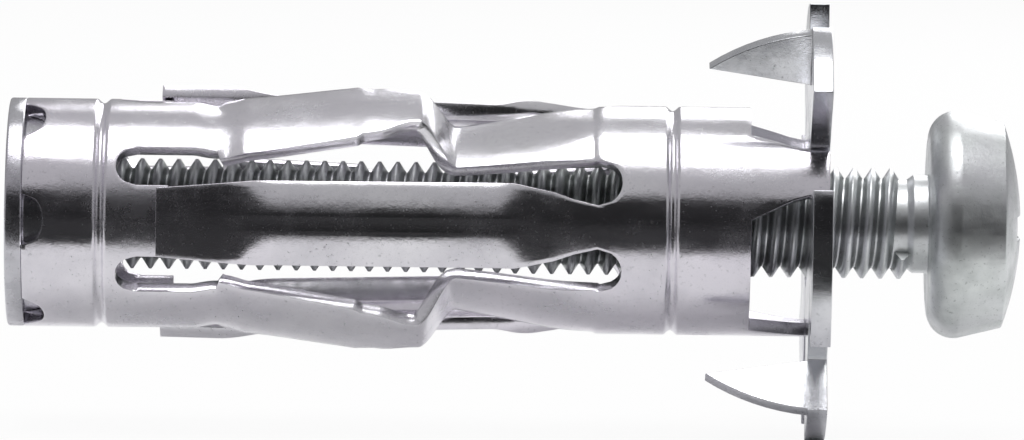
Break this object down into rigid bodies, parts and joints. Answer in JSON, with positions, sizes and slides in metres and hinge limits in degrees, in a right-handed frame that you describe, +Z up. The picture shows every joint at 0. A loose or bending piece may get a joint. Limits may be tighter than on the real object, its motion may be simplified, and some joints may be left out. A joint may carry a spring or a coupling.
{
  "type": "hollow wall anchor",
  "caption": "Metal hollow wall anchor: a slit sheet sleeve with folding legs and a spiked collar, a round nut swaged into its end, and a pan head machine screw",
  "frame": {"origin": "middle of the collar's outer face, the face that stays flush with the wall, on the hole's axis", "axes": "+X out of the wall towards the screw head, -X into the hole, +Z up"},
  "size_m": [0.0443, 0.0192, 0.0191],
  "materials": {
    "sleeve_zinc": "bright zinc plated sheet",
    "collar_zinc": "bright zinc plated sheet",
    "nut_zinc": "bright zinc plated",
    "screw_zinc": "zinc plated"
  },
  "bodies": {
    "anchor": {"sleeve": "sleeve_zinc", "collar": "collar_zinc", "nut": "nut_zinc"},
    "screw": {"screw": "screw_zinc"}
  },
  "joints": [
    {"name": "screw_travel", "type": "slide", "parent": "anchor", "child": "screw", "axis": [1, 0, 0], "range_m": [-0.0043, 0.0365]}
  ]
}
